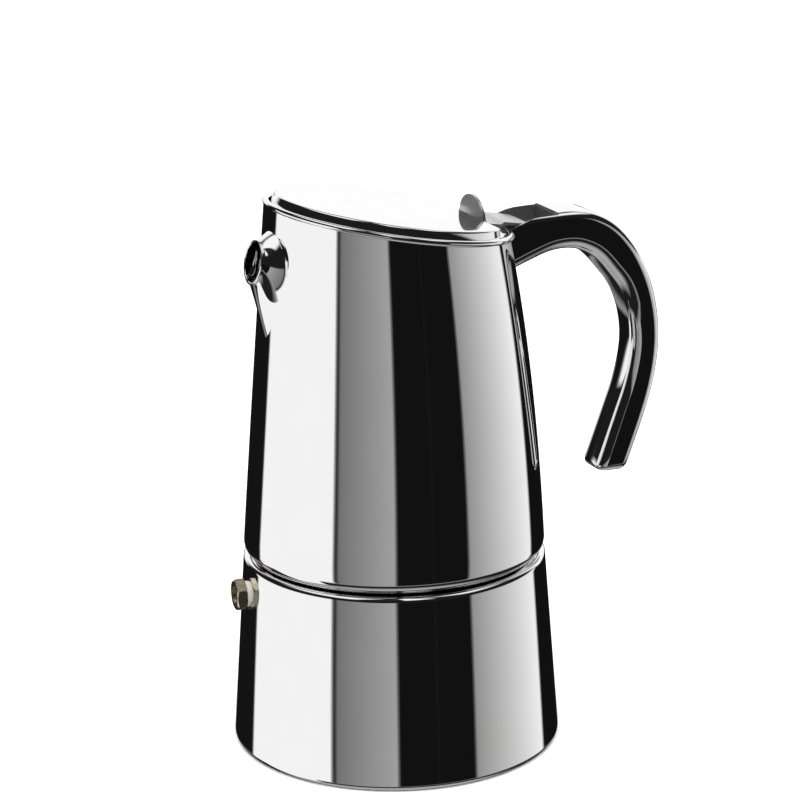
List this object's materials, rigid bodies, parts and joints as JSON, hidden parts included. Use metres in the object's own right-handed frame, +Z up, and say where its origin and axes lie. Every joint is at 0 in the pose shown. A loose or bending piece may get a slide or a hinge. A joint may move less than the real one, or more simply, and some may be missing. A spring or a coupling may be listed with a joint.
{
  "type": "moka pot",
  "caption": "Stove-top espresso maker in polished steel: tapered round boiler, screw-on pouring vessel with slanted rim, hinged lid with thumb tab, hooked hollow handle.",
  "frame": {"origin": "centre of the flat base, on the surface the pot stands on", "axes": "+Z up along the pot's axis; +X towards the handle, so the spout and the safety valve are on -X; the safety valve is 6.5 degrees off the XZ plane, towards +Y"},
  "size_m": [0.1492, 0.108, 0.1845],
  "materials": {
    "polished_steel": "mirror-polished stainless steel",
    "plain_steel": "plain drawn stainless steel",
    "nickel_brass": "nickel-plated brass, lightly polished",
    "silicone": "off-white food-grade silicone",
    "spring_wire": "drawn spring steel"
  },
  "bodies": {
    "boiler": {"boiler_shell": "polished_steel", "boiler_neck": "plain_steel", "valve_body": "nickel_brass", "valve_gasket": "silicone", "valve_washer": "plain_steel", "valve_nut": "nickel_brass", "valve_retainer": "nickel_brass", "valve_spring": "spring_wire"},
    "valve_poppet": {"valve_pin": "nickel_brass"},
    "funnel": {"funnel_basket": "plain_steel", "funnel_filter_disc": "plain_steel", "funnel_stem": "plain_steel"},
    "gasket": {"sealing_gasket": "silicone"},
    "filter": {"filter_plate": "plain_steel"},
    "vessel": {"vessel_shell": "polished_steel", "vessel_deck": "plain_steel", "thread_collar": "plain_steel", "riser_tube": "plain_steel", "riser_cap": "plain_steel", "spout": "polished_steel", "handle_shell": "polished_steel", "handle_web": "plain_steel", "hinge_pin": "plain_steel"},
    "lid": {"lid_plate": "polished_steel", "lid_hinge_leaf": "polished_steel", "lid_thumb_tab": "polished_steel"}
  },
  "joints": [
    {"name": "valve_lift", "type": "slide", "parent": "boiler", "child": "valve_poppet", "axis": [-0.9936, 0.1132, 0], "range_m": [0, 0.0015], "stiffness_N_per_m": 600, "springref_m": -0.001, "deforming": ["valve_spring"]},
    {"name": "funnel_lift_out", "type": "slide", "parent": "boiler", "child": "funnel", "axis": [0, 0, 1], "range_m": [0, 0.085]},
    {"name": "top_lift_off", "type": "slide", "parent": "funnel", "child": "gasket", "axis": [0, 0, 1], "range_m": [0, 0.06]},
    {"name": "thread_rise", "type": "slide", "parent": "gasket", "child": "filter", "axis": [0, 0, 1], "range_m": [0, 0.0046]},
    {"name": "top_unscrew", "type": "hinge", "parent": "filter", "child": "vessel", "pos_m": [0, 0, 0.0794], "axis": [0, 0, 1], "range_deg": [0, 540]},
    {"name": "lid_hinge", "type": "hinge", "parent": "vessel", "child": "lid", "pos_m": [0.04499, 0, 0.16731], "axis": [0, 1, 0], "range_deg": [0, 100]}
  ],
  "couplings": [
    {"joint": "thread_rise", "follows": "top_unscrew", "m_per_rad": 0.00047746}
  ]
}
